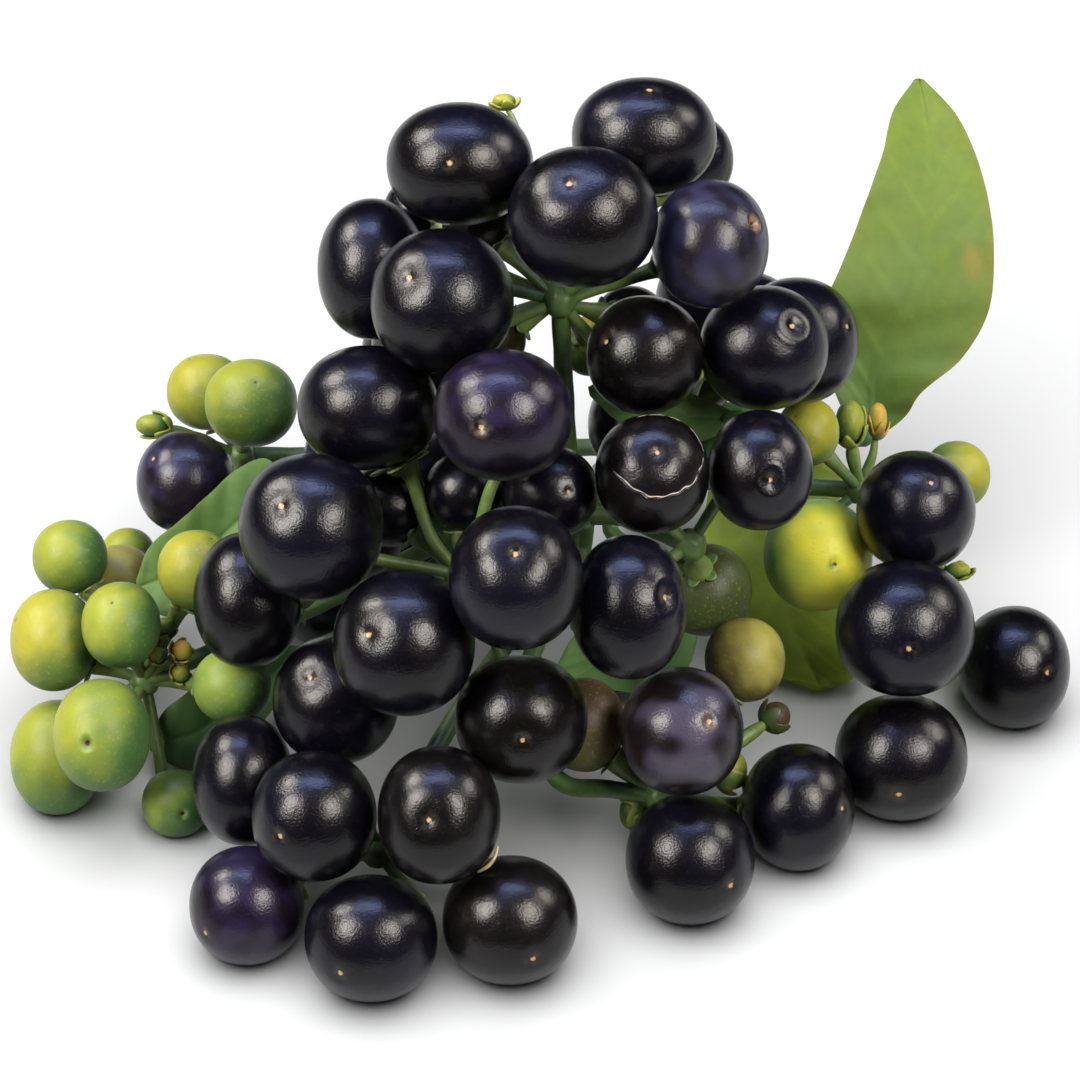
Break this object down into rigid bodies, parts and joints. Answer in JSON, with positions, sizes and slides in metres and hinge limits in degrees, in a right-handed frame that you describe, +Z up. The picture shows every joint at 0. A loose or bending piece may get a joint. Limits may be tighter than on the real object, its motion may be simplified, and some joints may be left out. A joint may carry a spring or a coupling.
{
  "type": "huckleberry cluster",
  "caption": "Cut bunch of garden huckleberries lying down: umbels of round black berries on green stalks, with unripe green berries, buds and leaves.",
  "frame": {"origin": "centre of the bounding box at the surface the bunch rests on", "axes": "+X to the right as the bunch is seen in the picture, +Y away from the viewer, +Z up"},
  "size_m": [0.1236, 0.1145, 0.0793],
  "materials": {
    "ripe_skin": "smooth blue-black fruit skin with a satin gloss",
    "unripe_skin": "smooth yellow-green fruit skin with a soft gloss",
    "stalk": "green stalk with a dull skin",
    "leaf": "soft green leaf blade with paler veins"
  },
  "bodies": {
    "root": {"main_stem": "stalk", "umbel_top": "ripe_skin", "umbel_middle": "ripe_skin", "umbel_inner_right": "ripe_skin", "umbel_front": "ripe_skin", "umbel_right": "ripe_skin", "umbel_far_right": "ripe_skin", "umbel_back_right": "ripe_skin", "umbel_back_left": "ripe_skin", "umbel_green_left": "unripe_skin", "umbel_upper_left": "unripe_skin", "umbel_green_right": "unripe_skin", "leaf_tall_right": "leaf", "leaf_low_right": "leaf", "leaf_left": "leaf", "leaf_centre": "leaf", "leaf_under_left": "leaf", "leaf_under_middle": "leaf"}
  },
  "joints": []
}
